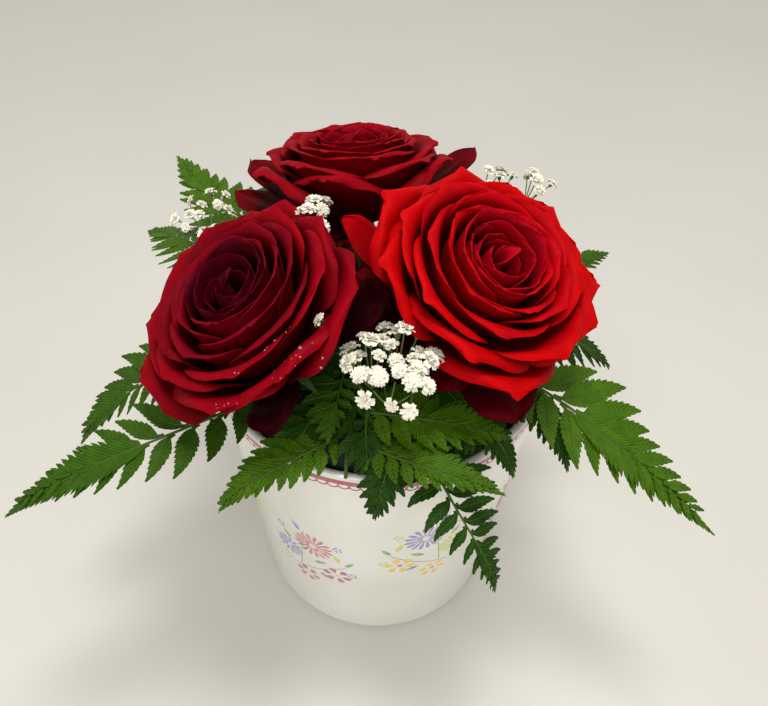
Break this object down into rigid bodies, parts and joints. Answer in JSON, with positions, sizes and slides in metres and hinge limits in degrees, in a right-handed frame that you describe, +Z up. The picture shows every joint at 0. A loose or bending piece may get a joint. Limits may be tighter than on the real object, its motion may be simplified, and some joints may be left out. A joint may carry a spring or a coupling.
{
  "type": "potted rose arrangement",
  "caption": "Open red roses with fern fronds and sprays of small white florets, arranged in a round white glazed pot that stands on a table.",
  "frame": {"origin": "centre of the pot's flat underside, on the surface that it stands on", "axes": "+Z up along the pot's axis, -Y towards the side that the arrangement faces, +X to that side's right"},
  "size_m": [0.2793, 0.2586, 0.2465],
  "materials": {
    "glaze": "glossy white glaze with a pink scalloped line under the rim and small painted flower sprays",
    "foam": "matte dark green wet foam",
    "rose_stem": "satin green rind",
    "petal_bright": "soft velvety bright red petals",
    "petal_deep": "soft velvety deep red petals",
    "petal_crimson": "soft velvety crimson petals",
    "fern": "slightly waxy green fern leaf",
    "floret": "papery off-white florets on thin green stalks"
  },
  "bodies": {
    "root": {"frond_back": "fern", "frond_back_far": "fern", "frond_back_left": "fern", "frond_back_right": "fern", "frond_front_left": "fern", "frond_front_low": "fern", "frond_front_right": "fern", "frond_front_up": "fern", "frond_front_upper": "fern", "frond_inner_back": "fern", "frond_inner_right": "fern", "frond_left": "fern", "frond_left_back": "fern", "frond_left_low": "fern", "frond_left_rear": "fern", "frond_left_side": "fern", "frond_right": "fern", "frond_right_back": "fern", "frond_right_rear": "fern", "frond_right_side": "fern", "front_rib": "fern", "pot": "glaze", "pot_filling": "foam", "rose_back_bloom": "petal_crimson", "rose_back_stem": "rose_stem", "rose_left_bloom": "petal_deep", "rose_left_stem": "rose_stem", "rose_right_bloom": "petal_bright", "rose_right_stem": "rose_stem", "spray_back": "floret", "spray_front": "floret", "spray_left": "floret", "spray_middle": "floret", "spray_right": "floret"}
  },
  "joints": []
}
